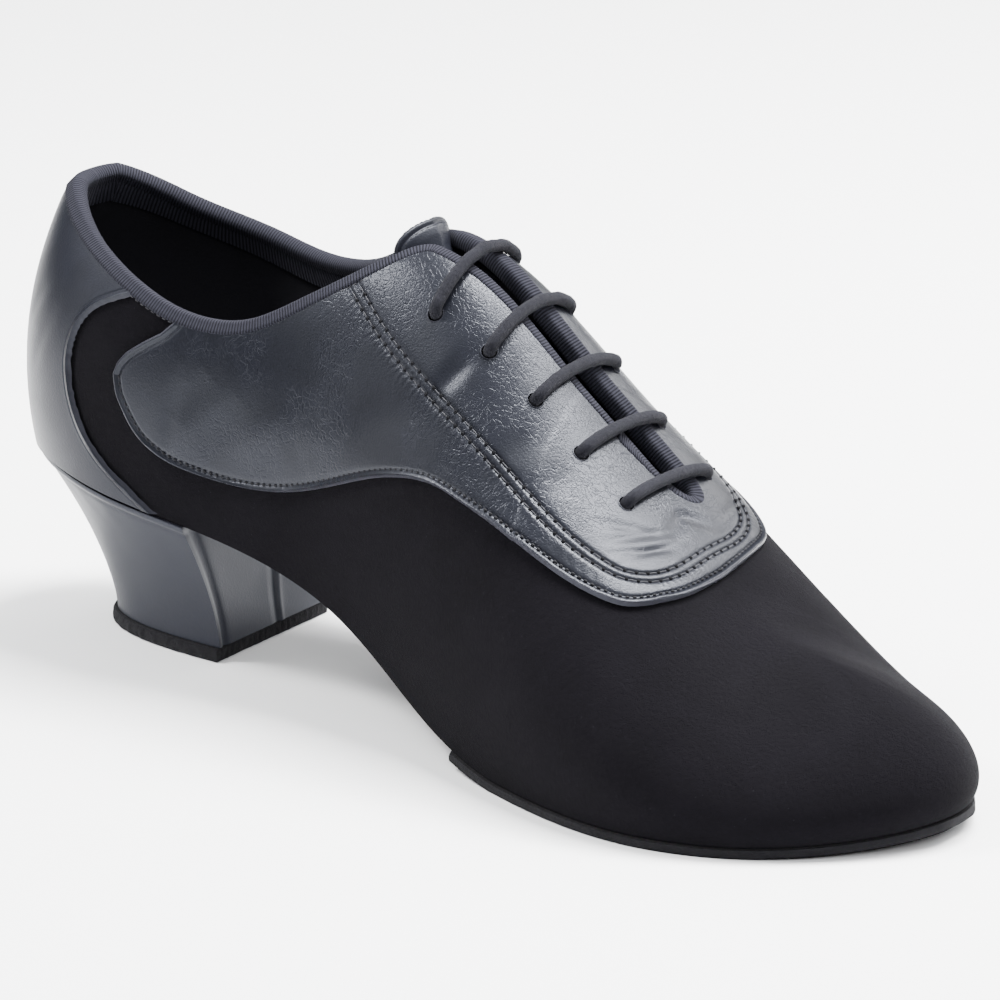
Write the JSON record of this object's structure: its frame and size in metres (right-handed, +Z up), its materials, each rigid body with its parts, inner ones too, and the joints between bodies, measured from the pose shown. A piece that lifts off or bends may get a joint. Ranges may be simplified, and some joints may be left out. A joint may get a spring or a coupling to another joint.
{
  "type": "ballroom dance shoe",
  "caption": "Low-cut laced dance shoe for the left foot, with a leather saddle over a suede upper, a covered flared heel and a thin forepart sole.",
  "frame": {"origin": "on the floor, under the middle of the heel's top piece, on the middle line of the heel", "axes": "+X forward to the toe, +Y to the outer side of the foot, +Z up"},
  "size_m": [0.2885, 0.1058, 0.1209],
  "materials": {
    "suede": "black napped suede",
    "leather": "soft dark leather with a grey-blue sheen",
    "ribbon": "ribbed binding tape",
    "lace_cotton": "round brushed lace",
    "lining": "dark lining and sock",
    "heel_cover": "glossy leather cover",
    "buffed_sole": "brushed dark sole leather"
  },
  "bodies": {
    "root": {"upper": "suede", "quarter_panel": "leather", "counter_panel": "leather", "topline_binding": "ribbon", "tongue": "leather", "lace": "lace_cotton", "insole": "lining", "outsole": "buffed_sole", "heel_block": "heel_cover", "heel_top_piece": "buffed_sole"}
  },
  "joints": []
}
